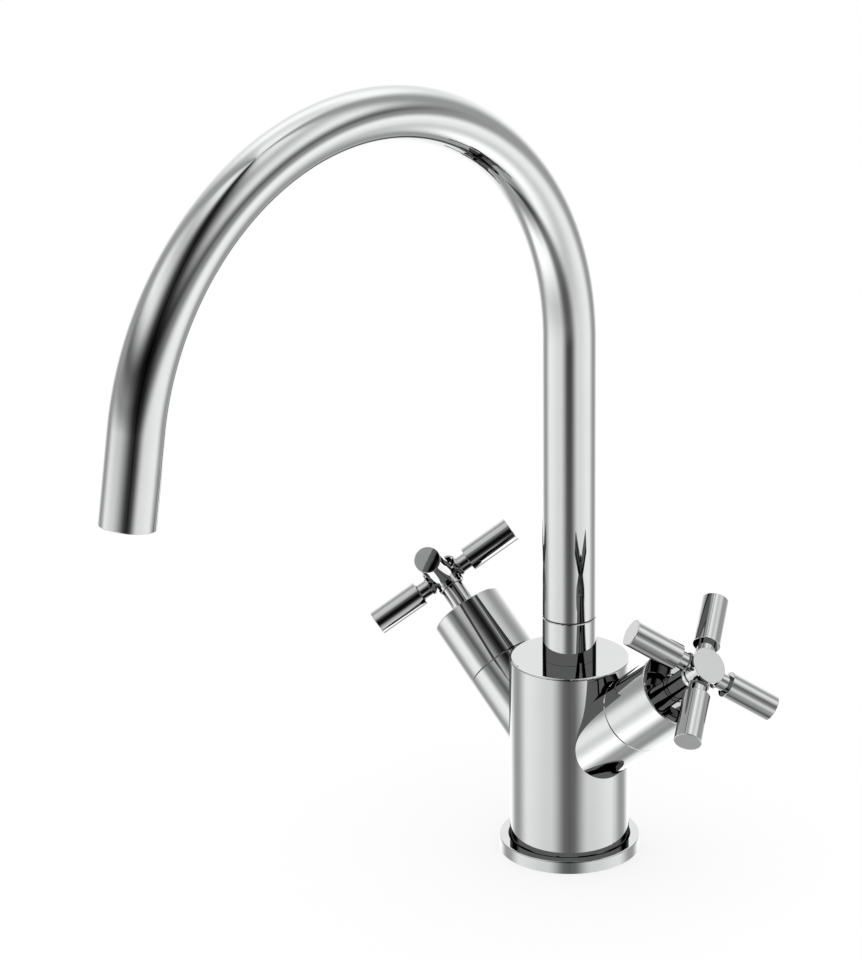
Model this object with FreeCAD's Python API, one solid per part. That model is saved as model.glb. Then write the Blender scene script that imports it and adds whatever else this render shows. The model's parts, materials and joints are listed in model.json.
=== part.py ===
import FreeCAD, Part
import math
import os

# Kitchen mixer tap with two cross handles and a swan-neck spout. Millimetres and degrees.
# The origin is the middle of the underside, +Z is up, the spout points to -Y, the hot valve
# leans out to -X and the cold valve to +X. A length that ends in _s is measured along a valve's
# slanted axis, from the point where that axis crosses the body's upright axis.

Vector = FreeCAD.Vector
X_AXIS = Vector(1, 0, 0)
Y_AXIS = Vector(0, 1, 0)
Z_AXIS = Vector(0, 0, 1)

# Body and base ring
body_d = 49.4
body_top_z = 84.5
body_top_edge = 0.9
foot_step = 2.7
base_ring_lip = 4.5
base_ring_h = 5.4
base_ring_edge = 0.6
base_seal_w = 3.0
base_seal_h = 2.0

# Valve arms
arm_angle = 40.0
arm_cross_drop = 46.3
arm_d = 31.8
arm_seam_s = 49.6
arm_spigot_h = 6.0
valve_bore_share = 0.665
shroud_h = 27.8
shroud_wall = 2.0
shroud_end_t = 4.0
shroud_edge = 0.5
seam_groove = 0.3

# Threads and waterways in the body
inlet_thread_d = 10.0
inlet_thread_h = 14.0
inlet_offset = 9.5
inlet_way_d = 8.0
stud_hole_d = 8.0
stud_hole_h = 16.0
stud_offset = 14.0
seat_port_d = 9.0
cross_way_d = 7.0
waterway_wall = 2.5
mixing_floor = 1.5

# Spout
spout_tube_d = 22.0
spout_wall = 1.5
riser_top_z = 221.0
bend_r = 112.6
end_lean = 9.5
end_straight = 36.4
outlet_rim_share = 0.33
collar_h = 18.0
collar_spigot_wall = 1.5
collar_spigot_h = 8.0
seam_ring_t = 0.5

# Spout tailpiece, which turns in the body
tail_step = 3.5
tail_wall = 3.0
tail_flange_t = 2.2
tail_plug_h = 12.0
tail_end_land = 1.2
tail_ring_land = 1.0
glide_washer_t = 0.8
o_ring_section = 1.8
o_ring_slack = 0.4

# Flow straightener in the outlet
aerator_recess = 1.2
aerator_insert_h = 14.0
aerator_insert_wall = 1.2
aerator_ledge_t = 2.0
aerator_ledge_w = 1.8
aerator_housing_h = 9.0
aerator_housing_wall = 1.4
aerator_housing_inset = 0.4
aerator_key_w = 2.4
aerator_key_h = 1.2
aerator_key_count = 4
aerator_plate_t = 1.2
aerator_grid_hole_share = 0.74
aerator_strainer_hole_share = 0.52
aerator_ring_counts = (1, 6, 12)

# Ceramic valve cartridge
cartridge_sleeve_step = 1.7
cartridge_sleeve_wall = 0.9
cartridge_hex_gap = 1.2
cartridge_hex_h = 6.0
cartridge_neck_wall = 2.0
cartridge_step_h = 2.0
cartridge_window_w = 9.0
cartridge_window_margin = 1.0
hex_ring_section = 2.0
seat_seal_h = 3.0
seat_seal_proud = 1.2
disc_port_angle = 78.0
disc_port_rim = 1.8
disc_port_hub = 1.7
fixed_disc_h = 3.4
moving_disc_h = 3.0
drive_dog_w = 3.0
drive_dog_h = 1.2

# Spindle
spindle_step = 0.5
spindle_flange_h = 3.0
spindle_ring_rise = 8.0
spline_depth = 0.4
spline_teeth = 20
circlip_t = 0.9
circlip_w = 2.0
circlip_bite = 0.5
circlip_gap_w = 3.0

# Cross handle
stem_d = 10.2
stem_wall = 1.3
stem_show = 11.9
stem_bush_wall = 1.05
stem_bush_lip_t = 1.0
stem_bush_lip_w = 1.2
stem_bush_groove_w = 0.5
stem_bush_groove_h = 0.8
hub_flange_lip = 0.55
hub_flange_t = 1.75
hub_flange_edge = 0.25
hub_d = 10.4
hub_h = 10.75
hub_boss_margin = 0.25
hub_boss_h = 2.65
hub_boss_neck_d = 5.4
hub_boss_flare_h = 1.6
hub_boss_rim_t = 0.8
hub_boss_edge = 0.15
hub_wall = 2.0
hub_recess_rise = 2.8
hub_floor_t = 4.8
hub_cap_lip = 2.4
hub_cap_t = 0.9
hub_cap_plug_h = 2.4
hub_cap_edge = 0.2
spoke_count = 4
spoke_turn = 44.3
spoke_d = 11.0
spoke_reach = 34.4
spoke_neck_h = 4.35
spoke_edge = 0.3
spoke_neck_d = 7.2
spoke_spigot_d = 4.0
spoke_spigot_h = 1.8
handle_screw_d = 3.5
handle_screw_h = 14.0
handle_screw_head_h = 2.1
handle_screw_slot_w = 1.0
handle_screw_slot_h = 1.1

# Clearances, each on one side
push_fit = 0.02
running_fit = 0.06
thread_gap = 0.1
loose_gap = 0.3
end_play = 0.1
overrun = 1.0

# Places that follow from the sizes above
lean = math.radians(arm_angle)
foot_d = body_d - 2 * foot_step
base_ring_d = body_d + 2 * base_ring_lip
tail_d = spout_tube_d - 2 * tail_step
tail_bore_d = tail_d - 2 * tail_wall
collar_spigot_d = tail_d + 2 * collar_spigot_wall
tail_flange_d = collar_spigot_d - 2 * loose_gap
spline_d = stem_d - 2 * stem_wall
spindle_d = spline_d + 2 * spindle_step
cartridge_neck_d = spindle_d + 2 * cartridge_neck_wall
hub_recess_d = hub_d - 2 * hub_wall
hub_cap_d = hub_d + 2 * hub_cap_lip
handle_screw_head_d = hub_recess_d - 2 * loose_gap
o_ring_groove_w = o_ring_section + o_ring_slack
tail_ring_pitch = o_ring_groove_w + tail_ring_land
outlet_rim_round = spout_wall * outlet_rim_share
arm_cross_z = body_top_z - arm_cross_drop
shroud_inner_r = arm_d / 2 - shroud_wall
arm_spigot_r = shroud_inner_r - push_fit
arm_bore_r = arm_d / 2 * valve_bore_share
cartridge_thread_d = 2 * (arm_bore_r - thread_gap)
cartridge_sleeve_d = cartridge_thread_d - 2 * cartridge_sleeve_step
tail_bore_r = tail_d / 2 + running_fit
seat_s = (tail_bore_r + waterway_wall + arm_bore_r * math.sin(lean)) / math.cos(lean)
arm_mouth_s = arm_seam_s + arm_spigot_h
shroud_end_s = arm_seam_s + shroud_h
stem_bush_r = stem_d / 2 + running_fit + stem_bush_wall
stem_bottom_s = shroud_end_s - shroud_end_t - stem_bush_lip_t
cartridge_top_s = stem_bottom_s - loose_gap - circlip_t - end_play
hub_base_s = shroud_end_s + stem_show
hub_top_s = hub_base_s + hub_h
hub_barrel_h = hub_h - hub_flange_t
hub_boss_d = hub_barrel_h - 2 * hub_boss_margin
hub_boss_r = hub_d / 2 + hub_boss_h
spoke_inner_r = hub_boss_r + spoke_neck_h
cross_s = hub_top_s - hub_barrel_h / 2
hub_recess_s = hub_base_s + hub_recess_rise
spindle_top_s = hub_recess_s - hub_floor_t
fixed_disc_s = seat_s + seat_seal_h
moving_disc_s = fixed_disc_s + fixed_disc_h
spindle_flange_s = moving_disc_s + moving_disc_h
sleeve_inner_r = cartridge_sleeve_d / 2 - cartridge_sleeve_wall
disc_r = sleeve_inner_r - loose_gap
sleeve_roof_s = spindle_flange_s + spindle_flange_h + end_play
spindle_ring_s = sleeve_roof_s + spindle_ring_rise
spindle_bore_r = spindle_d / 2 + running_fit
hex_groove_r = arm_bore_r - hex_ring_section / 2
cross_way_z = arm_cross_z + seat_s * math.sin(lean) + arm_bore_r * math.cos(lean)
cross_way_x = tail_bore_r + waterway_wall + cross_way_d
mixing_floor_z = cross_way_z - cross_way_d / 2 - mixing_floor
socket_floor_z = body_top_z - collar_spigot_h - tail_flange_t - 2 * (glide_washer_t + end_play)
tail_bottom_z = socket_floor_z - 2 * tail_end_land - o_ring_groove_w - tail_ring_pitch
tail_ring_z = tail_bottom_z + tail_end_land + o_ring_groove_w / 2
collar_top_z = body_top_z + collar_h
tube_bottom_z = collar_top_z + seam_ring_t
tube_r = spout_tube_d / 2
tube_inner_r = tube_r - spout_wall
bend_turn = math.radians(180 - end_lean)
bend_end = Vector(0, -bend_r * (1 - math.cos(bend_turn)), riser_top_z + bend_r * math.sin(bend_turn))
outflow = Vector(0, -math.sin(math.radians(end_lean)), -math.cos(math.radians(end_lean)))
outlet = bend_end + outflow * end_straight


def rod(diameter, low, high):
    """A cylinder on the Z axis between two heights."""
    return Part.makeCylinder(diameter / 2, high - low, Vector(0, 0, low))


def slab(width, depth, low, high):
    """A block centred on the Z axis between two heights."""
    return Part.makeBox(width, depth, high - low, Vector(-width / 2, -depth / 2, low))


def turned(points, rounds=None):
    """A solid turned about the Z axis from an outline of (radius, height) points.

    rounds gives the corner radius of the points, by their number, that are rounded.
    """
    rounds = rounds or {}
    corners = [Vector(radius, 0, height) for radius, height in points]
    edges = []
    ends = []
    for index, corner in enumerate(corners):
        radius = rounds.get(index, 0)
        if not radius:
            ends.append((corner, corner))
            continue
        to_last = (corners[index - 1] - corner).normalize()
        to_next = (corners[(index + 1) % len(corners)] - corner).normalize()
        half = to_last.getAngle(to_next) / 2
        start = corner + to_last * (radius / math.tan(half))
        stop = corner + to_next * (radius / math.tan(half))
        inward = (to_last + to_next).normalize()
        middle = corner + inward * (radius / math.sin(half) - radius)
        edges.append(Part.Arc(start, middle, stop).toShape())
        ends.append((start, stop))
    for index in range(len(corners)):
        leave = ends[index][1]
        arrive = ends[(index + 1) % len(corners)][0]
        edges.append(Part.LineSegment(leave, arrive).toShape())
    outline = Part.Wire(Part.__sortEdges__(edges))
    return Part.Face(outline).revolve(Vector(0, 0, 0), Z_AXIS, 360)


def washer(outer_d, inner_d, low, high):
    """A plain ring between two heights."""
    outer_r = outer_d / 2
    inner_r = inner_d / 2
    return turned([(inner_r, low), (outer_r, low), (outer_r, high), (inner_r, high)])


def o_ring(middle_r, section_d, height):
    """A rubber ring of round section."""
    return Part.makeTorus(middle_r, section_d / 2, Vector(0, 0, height))


def around(shape, count, start=0):
    """Copies of a shape spaced evenly about the Z axis."""
    copies = []
    for index in range(count):
        copy = shape.copy()
        copy.rotate(Vector(0, 0, 0), Z_AXIS, start + index * 360 / count)
        copies.append(copy)
    return copies


def on_arm(shape, side):
    """A shape made along +Z, set on the slanted axis of the valve on that side of the body."""
    placed = shape.copy()
    placed.rotate(Vector(0, 0, 0), Y_AXIS, side * (90 - arm_angle))
    placed.translate(Vector(0, 0, arm_cross_z))
    return placed


def at_outlet(shape):
    """A shape made upwards from zero, set inside the spout's outlet."""
    placed = shape.copy()
    placed.rotate(Vector(0, 0, 0), X_AXIS, -end_lean)
    placed.translate(outlet)
    return placed


def spline_bar(tip_r, low, high):
    """A bar with triangular spline teeth."""
    points = []
    for index in range(2 * spline_teeth + 1):
        turn = math.pi * index / spline_teeth
        radius = tip_r - spline_depth * (index % 2)
        points.append(Vector(radius * math.cos(turn), radius * math.sin(turn), low))
    return Part.Face(Part.makePolygon(points)).extrude(Z_AXIS * (high - low))


def make_body():
    """The casting: body, valve stubs, waterways, spout socket and threads."""
    body = turned(
        [(0, 0), (foot_d / 2, 0), (foot_d / 2, base_ring_h), (body_d / 2, base_ring_h),
         (body_d / 2, body_top_z), (0, body_top_z)],
        {4: body_top_edge})
    stub = turned(
        [(0, 0), (arm_d / 2, 0), (arm_d / 2, arm_seam_s - seam_groove),
         (arm_d / 2 - seam_groove, arm_seam_s), (arm_spigot_r, arm_seam_s),
         (arm_spigot_r, arm_mouth_s), (0, arm_mouth_s)])
    ring_pocket_d = 2 * (hex_groove_r + hex_ring_section)
    valve_bore = rod(2 * arm_bore_r, seat_s, arm_mouth_s + overrun)
    ring_pocket = rod(ring_pocket_d, arm_mouth_s - hex_ring_section, arm_mouth_s + overrun)
    port_s = inlet_offset / math.cos(lean)
    port = rod(seat_port_d, port_s, seat_s + overrun)
    inlet_top_z = arm_cross_z + inlet_offset * math.tan(lean)
    cuts = [
        rod(2 * tail_bore_r, mixing_floor_z, body_top_z + overrun),
        rod(collar_spigot_d + 2 * push_fit, socket_floor_z, body_top_z + overrun),
    ]
    for side in (-1, 1):
        body = body.fuse(on_arm(stub, side))
        cuts += [on_arm(bore, side) for bore in (valve_bore, ring_pocket, port)]
        inlet = rod(inlet_thread_d, -overrun, inlet_thread_h).fuse(rod(inlet_way_d, 0, inlet_top_z))
        inlet.translate(X_AXIS * (side * inlet_offset))
        stud_hole = rod(stud_hole_d, -overrun, stud_hole_h)
        stud_hole.translate(Y_AXIS * (side * stud_offset))
        cross_way = Part.makeCylinder(
            cross_way_d / 2, cross_way_x, Vector(0, 0, cross_way_z), X_AXIS * side)
        cuts += [inlet, stud_hole, cross_way]
    for cut in cuts:
        body = body.cut(cut)
    return body.removeSplitter()


def make_base():
    """The trim ring under the body, and the rubber ring in its underside."""
    inner_r = foot_d / 2 + push_fit
    outer_r = base_ring_d / 2
    ring = turned(
        [(inner_r, 0), (outer_r, 0), (outer_r, base_ring_h), (inner_r, base_ring_h)],
        {2: base_ring_edge})
    middle_d = inner_r + outer_r
    groove_w = base_seal_w + 2 * push_fit
    groove = washer(middle_d + groove_w, middle_d - groove_w, -overrun, base_seal_h)
    seal = washer(middle_d + base_seal_w, middle_d - base_seal_w, 0, base_seal_h)
    return {"base_ring": ring.cut(groove), "base_seal": seal}


def make_spout_socket():
    """The collar that screws into the body, with the rings that the spout turns on."""
    collar_r = spout_tube_d / 2
    spigot_r = collar_spigot_d / 2
    spigot_z = body_top_z - collar_spigot_h
    collar = turned(
        [(tail_bore_r, spigot_z), (spigot_r, spigot_z), (spigot_r, body_top_z),
         (collar_r, body_top_z), (collar_r, collar_top_z - seam_groove),
         (collar_r - seam_groove, collar_top_z), (tail_bore_r, collar_top_z)])
    lower = washer(
        tail_flange_d, 2 * tail_bore_r, socket_floor_z, socket_floor_z + glide_washer_t)
    upper = washer(tail_flange_d, 2 * tail_bore_r, spigot_z - glide_washer_t, spigot_z)
    seam_ring = washer(
        2 * (collar_r - seam_groove), 2 * tail_bore_r, collar_top_z, tube_bottom_z)
    return {
        "spout_collar": collar,
        "spout_glide_washers": Part.makeCompound([lower, upper]),
        "spout_seam_ring": seam_ring,
    }


def make_spout_tube():
    """The swan neck: a straight riser, one bend and a short straight end."""
    riser = turned(
        [(tube_inner_r, tube_bottom_z), (tube_r - seam_groove, tube_bottom_z),
         (tube_r, tube_bottom_z + seam_groove), (tube_r, riser_top_z), (tube_inner_r, riser_top_z)])
    rim = Vector(0, 0, riser_top_z)
    outer = Part.Wire(Part.makeCircle(tube_r, rim, Z_AXIS))
    inner = Part.Wire(Part.makeCircle(tube_inner_r, rim, Z_AXIS))
    section = Part.Face(outer).cut(Part.Face(inner)).Faces[0]
    bend = section.revolve(Vector(0, -bend_r, riser_top_z), X_AXIS, 180 - end_lean)
    end = turned(
        [(tube_inner_r, 0), (tube_r, 0), (tube_r, end_straight), (tube_inner_r, end_straight)],
        {0: outlet_rim_round, 1: outlet_rim_round})
    return riser.fuse([bend, at_outlet(end)]).removeSplitter()


def make_tailpiece():
    """The turned end of the spout, with its two O-rings."""
    plug_r = tube_inner_r - push_fit
    shaft_r = tail_d / 2
    bore_r = tail_bore_d / 2
    flange_r = tail_flange_d / 2
    flange_z = socket_floor_z + glide_washer_t + end_play
    tail = turned(
        [(bore_r, tail_bottom_z), (shaft_r, tail_bottom_z), (shaft_r, flange_z),
         (flange_r, flange_z), (flange_r, flange_z + tail_flange_t),
         (shaft_r, flange_z + tail_flange_t), (shaft_r, tube_bottom_z), (plug_r, tube_bottom_z),
         (plug_r, tube_bottom_z + tail_plug_h), (bore_r, tube_bottom_z + tail_plug_h)])
    ring_r = shaft_r - o_ring_section / 2
    rings = []
    for height in (tail_ring_z, tail_ring_z + tail_ring_pitch):
        low = height - o_ring_groove_w / 2
        high = height + o_ring_groove_w / 2
        groove_d = 2 * (ring_r - o_ring_section / 2 - push_fit)
        tail = tail.cut(washer(tail_d + overrun, groove_d, low, high))
        rings.append(o_ring(ring_r, o_ring_section, height))
    return {"spout_tailpiece": tail, "tailpiece_o_rings": Part.makeCompound(rings)}


def pierced_plate(radius, low, hole_share):
    """A round plate with rings of holes, each hole a share of the step between two rings."""
    plate = rod(2 * radius, low, low + aerator_plate_t)
    pitch = radius / len(aerator_ring_counts)
    hole = rod(pitch * hole_share, low - overrun, low + aerator_plate_t + overrun)
    holes = []
    for ring, count in enumerate(aerator_ring_counts):
        spot = hole.copy()
        spot.translate(X_AXIS * (ring * pitch))
        holes += around(spot, count)
    return plate.cut(Part.makeCompound(holes))


def make_aerator():
    """The flow straightener, hidden inside the outlet."""
    insert_r = tube_inner_r - push_fit
    thread_r = insert_r - aerator_insert_wall
    ledge_r = thread_r - aerator_ledge_w
    insert_top = aerator_recess + aerator_insert_h
    ledge = insert_top - aerator_ledge_t
    insert = turned(
        [(thread_r, aerator_recess), (insert_r, aerator_recess), (insert_r, insert_top),
         (ledge_r, insert_top), (ledge_r, ledge), (thread_r, ledge)])
    housing_r = thread_r - push_fit
    housing_inner_r = housing_r - aerator_housing_wall
    low = aerator_recess + aerator_housing_inset
    high = low + aerator_housing_h
    lip_r = housing_inner_r - aerator_housing_wall / 2
    plate_z = low + aerator_key_h + aerator_plate_t
    housing = turned(
        [(lip_r, low), (housing_r, low), (housing_r, high), (housing_inner_r, high),
         (housing_inner_r, plate_z), (lip_r, plate_z)])
    key = Part.makeBox(housing_r, aerator_key_w, aerator_key_h, Vector(0, -aerator_key_w / 2, low))
    for slot in around(key, aerator_key_count):
        housing = housing.cut(slot)
    plate_r = housing_inner_r - push_fit
    strainer_z = high - aerator_plate_t
    pieces = {
        "aerator_insert": insert,
        "aerator_housing": housing,
        "aerator_grid": pierced_plate(plate_r, plate_z, aerator_grid_hole_share),
        "aerator_strainer": pierced_plate(plate_r, strainer_z, aerator_strainer_hole_share),
        "aerator_seal": washer(2 * housing_r, 2 * ledge_r, high, ledge),
    }
    return {name: at_outlet(shape) for name, shape in pieces.items()}


def make_shroud():
    """The sleeve over a valve, with the guide bush in its end face."""
    outer_r = arm_d / 2
    roof_s = shroud_end_s - shroud_end_t
    shroud = turned(
        [(shroud_inner_r, arm_seam_s), (outer_r - seam_groove, arm_seam_s),
         (outer_r, arm_seam_s + seam_groove), (outer_r, shroud_end_s), (stem_bush_r, shroud_end_s),
         (stem_bush_r, roof_s), (shroud_inner_r, roof_s)],
        {3: shroud_edge})
    guide_r = stem_d / 2 + running_fit
    bush_r = stem_bush_r - push_fit
    lip_r = bush_r + stem_bush_lip_w
    face_r = bush_r - stem_bush_groove_w
    groove_s = shroud_end_s - stem_bush_groove_h
    bush = turned(
        [(guide_r, stem_bottom_s), (lip_r, stem_bottom_s), (lip_r, roof_s), (bush_r, roof_s),
         (bush_r, groove_s), (face_r, groove_s), (face_r, shroud_end_s), (guide_r, shroud_end_s)])
    return {"valve_shroud": shroud, "stem_bush": bush}


def butterfly_ports(low, high, start):
    """Two facing sector openings through a ceramic disc."""
    port = Part.makeCylinder(
        disc_r - disc_port_rim, high - low + 2 * overrun, Vector(0, 0, low - overrun), Z_AXIS,
        disc_port_angle)
    port = port.cut(rod(2 * disc_port_hub, low - 2 * overrun, high + 2 * overrun))
    return Part.makeCompound(around(port, 2, start - disc_port_angle / 2))


def make_cartridge():
    """The valve's fixed pieces: cartridge body, its seals and the fixed ceramic disc."""
    thread_r = cartridge_thread_d / 2
    sleeve_r = cartridge_sleeve_d / 2
    sleeve_s = seat_s + seat_seal_proud
    step_s = sleeve_roof_s + cartridge_step_h
    groove_r = hex_groove_r - push_fit
    groove_s = arm_mouth_s - hex_ring_section
    shell = turned(
        [(sleeve_inner_r, sleeve_s), (sleeve_r, sleeve_s), (sleeve_r, step_s), (thread_r, step_s),
         (thread_r, groove_s), (groove_r, groove_s), (groove_r, arm_mouth_s),
         (cartridge_neck_d / 2, arm_mouth_s), (cartridge_neck_d / 2, cartridge_top_s),
         (spindle_bore_r, cartridge_top_s), (spindle_bore_r, sleeve_roof_s),
         (sleeve_inner_r, sleeve_roof_s)])
    hex_r = shroud_inner_r - cartridge_hex_gap
    corners = [
        Vector(hex_r * math.cos(math.radians(turn)), hex_r * math.sin(math.radians(turn)), arm_mouth_s)
        for turn in range(0, 361, 60)]
    hexagon = Part.Face(Part.makePolygon(corners)).extrude(Z_AXIS * cartridge_hex_h)
    hexagon = hexagon.cut(rod(2 * spindle_bore_r, arm_mouth_s, arm_mouth_s + cartridge_hex_h))
    shell = shell.fuse(hexagon)
    window_top_s = sleeve_roof_s - cartridge_window_margin
    shell = shell.cut(slab(cartridge_window_w, cartridge_sleeve_d, moving_disc_s, window_top_s))
    seal_r = sleeve_inner_r - push_fit
    disc = rod(2 * (sleeve_inner_r - push_fit), fixed_disc_s, moving_disc_s)
    disc = disc.cut(butterfly_ports(fixed_disc_s, moving_disc_s, 0))
    ring_s = arm_mouth_s - hex_ring_section / 2
    ring_r = hex_groove_r + hex_ring_section / 2
    return {
        "cartridge_body": shell.removeSplitter(),
        "cartridge_o_ring": o_ring(ring_r, hex_ring_section - 2 * push_fit, ring_s),
        "seat_seal": washer(2 * seal_r, seat_port_d, seat_s, fixed_disc_s),
        "fixed_disc": disc,
    }


def make_spindle():
    """The valve's turning pieces inside the cartridge."""
    flange_r = disc_r
    shaft_r = spindle_d / 2
    spline_r = spline_d / 2
    clip_s = cartridge_top_s + end_play
    clip_groove_r = spline_r - circlip_bite
    tap_r = handle_screw_d / 2 + push_fit
    tap_s = hub_recess_s - handle_screw_h - overrun
    flange_top_s = spindle_flange_s + spindle_flange_h
    shaft = turned(
        [(0, spindle_flange_s), (flange_r, spindle_flange_s), (flange_r, flange_top_s),
         (shaft_r, flange_top_s), (shaft_r, cartridge_top_s), (spline_r - spline_depth, cartridge_top_s),
         (spline_r - spline_depth, stem_bottom_s), (0, stem_bottom_s)])
    shaft = shaft.fuse(spline_bar(spline_r, stem_bottom_s, spindle_top_s))
    dog_s = spindle_flange_s - drive_dog_h
    dog = slab(2 * flange_r, drive_dog_w, dog_s, spindle_flange_s)
    dog = dog.common(rod(2 * flange_r, dog_s, spindle_flange_s))
    slot_w = drive_dog_w + 2 * push_fit
    slot = slab(2 * disc_r + overrun, slot_w, dog_s, spindle_flange_s + overrun)
    shaft = shaft.fuse(dog)
    ring_r = spindle_bore_r - running_fit / 2 - o_ring_section / 2
    ring_groove_r = ring_r - o_ring_section / 2 - push_fit
    ring_low = spindle_ring_s - o_ring_groove_w / 2
    ring_high = spindle_ring_s + o_ring_groove_w / 2
    shaft = shaft.cut(washer(spindle_d + overrun, 2 * ring_groove_r, ring_low, ring_high))
    shaft = shaft.cut(washer(spindle_d + overrun, 2 * clip_groove_r, clip_s, clip_s + circlip_t))
    shaft = shaft.cut(rod(2 * tap_r, tap_s, spindle_top_s + overrun))
    clip_inner_r = clip_groove_r + push_fit
    clip = washer(2 * (clip_inner_r + circlip_w), 2 * clip_inner_r, clip_s, clip_s + circlip_t)
    opening = Part.makeBox(
        clip_inner_r + circlip_w + overrun, circlip_gap_w, circlip_t, Vector(0, -circlip_gap_w / 2, clip_s))
    disc = rod(2 * disc_r, moving_disc_s, spindle_flange_s).cut(slot)
    disc = disc.cut(butterfly_ports(moving_disc_s, spindle_flange_s, 90))
    return {
        "spindle": shaft.removeSplitter(),
        "moving_disc": disc,
        "spindle_o_ring": o_ring(ring_r, o_ring_section, spindle_ring_s),
        "spindle_circlip": clip.cut(opening),
    }


def radial(shape):
    """A shape made along +Z, laid along +X at the height of the handle's spokes."""
    laid = shape.copy()
    laid.rotate(Vector(0, 0, 0), Y_AXIS, 90)
    laid.translate(Vector(0, 0, cross_s))
    return laid


def make_handle():
    """The cross handle: hub with its stem, spokes, cap and screw."""
    stem_r = stem_d / 2
    hub_r = hub_d / 2
    flange_r = stem_r + hub_flange_lip
    barrel_s = hub_base_s + hub_flange_t
    hub = turned(
        [(0, stem_bottom_s), (stem_r, stem_bottom_s), (stem_r, hub_base_s), (flange_r, hub_base_s),
         (flange_r, barrel_s), (hub_r, barrel_s), (hub_r, hub_top_s), (0, hub_top_s)],
        {3: hub_flange_edge, 4: hub_flange_edge})
    boss_rim_r = hub_boss_d / 2
    boss_neck_r = hub_boss_neck_d / 2
    flare_top_r = hub_boss_r - hub_boss_rim_t
    boss = turned(
        [(0, 0), (boss_neck_r, 0), (boss_neck_r, flare_top_r - hub_boss_flare_h), (boss_rim_r, flare_top_r),
         (boss_rim_r, hub_boss_r), (0, hub_boss_r)],
        {3: hub_boss_edge, 4: hub_boss_edge})
    hub = hub.fuse(around(radial(boss), spoke_count, spoke_turn))
    hub = hub.cut(spline_bar(spline_d / 2 + push_fit, stem_bottom_s - overrun, spindle_top_s + end_play))
    hub = hub.cut(rod(handle_screw_d + 2 * thread_gap, spindle_top_s, hub_recess_s + overrun))
    hub = hub.cut(rod(hub_recess_d, hub_recess_s, hub_top_s + overrun))
    spigot_foot_r = hub_boss_r - spoke_spigot_h
    socket = rod(spoke_spigot_d + 2 * push_fit, spigot_foot_r - push_fit, hub_boss_r + overrun)
    for hole in around(radial(socket), spoke_count, spoke_turn):
        hub = hub.cut(hole)

    spigot_r = spoke_spigot_d / 2
    neck_r = spoke_neck_d / 2
    spoke_r = spoke_d / 2
    spoke = radial(turned(
        [(0, spigot_foot_r), (spigot_r, spigot_foot_r), (spigot_r, hub_boss_r), (neck_r, hub_boss_r),
         (neck_r, spoke_inner_r), (spoke_r, spoke_inner_r), (spoke_r, spoke_reach), (0, spoke_reach)],
        {5: spoke_edge, 6: spoke_edge}))

    cap_r = hub_cap_d / 2
    plug_r = hub_recess_d / 2 - push_fit
    cap_top_s = hub_top_s + hub_cap_t
    plug_s = hub_top_s - hub_cap_plug_h
    cap = turned(
        [(0, plug_s), (plug_r, plug_s), (plug_r, hub_top_s), (cap_r, hub_top_s), (cap_r, cap_top_s),
         (0, cap_top_s)],
        {4: hub_cap_edge})

    head_top_s = hub_recess_s + handle_screw_head_h
    head_r = handle_screw_head_d / 2
    shank_r = handle_screw_d / 2
    tip_s = hub_recess_s - handle_screw_h
    screw = turned(
        [(0, tip_s), (shank_r, tip_s), (shank_r, hub_recess_s), (head_r, hub_recess_s),
         (head_r, head_top_s), (0, head_top_s)])
    slot_s = head_top_s - handle_screw_slot_h
    screw = screw.cut(slab(handle_screw_head_d, handle_screw_slot_w, slot_s, head_top_s))
    pieces = {"handle_hub": hub.removeSplitter(), "hub_cap": cap, "handle_screw": screw}
    for number, placed_spoke in enumerate(around(spoke, spoke_count, spoke_turn), 1):
        pieces["handle_spoke_" + str(number)] = placed_spoke
    return pieces


def make_parts():
    """Every piece of the tap by its name, in its place."""
    parts = {"mixer_body": make_body(), "spout_tube": make_spout_tube()}
    for group in (make_base(), make_spout_socket(), make_tailpiece(), make_aerator()):
        parts.update(group)
    for group in (make_shroud(), make_cartridge(), make_spindle(), make_handle()):
        for name, shape in group.items():
            parts["hot_" + name] = on_arm(shape, -1)
            parts["cold_" + name] = on_arm(shape, 1)
    return parts


os.makedirs("parts", exist_ok=True)
for name, shape in make_parts().items():
    shape.exportStep("parts/" + name + ".step")
    print(name, len(shape.Solids), "solids", round(shape.Volume, 1), "mm3", shape.isValid())
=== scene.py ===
"""Looks of a kitchen mixer tap in polished chrome, with a swan-neck spout and two cross handles.

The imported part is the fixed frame. The chrome pieces that show are turned again here as fine
meshes on the axes of the frame, and the other parts keep their own meshes. Every part gets a
finish built from shader nodes. Lengths are in metres and angles in radians, unless a docstring
gives another unit.
"""

import json
import logging
import math
from dataclasses import dataclass
from enum import Enum
from typing import Any, Optional, Protocol, Sequence, Union

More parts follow.
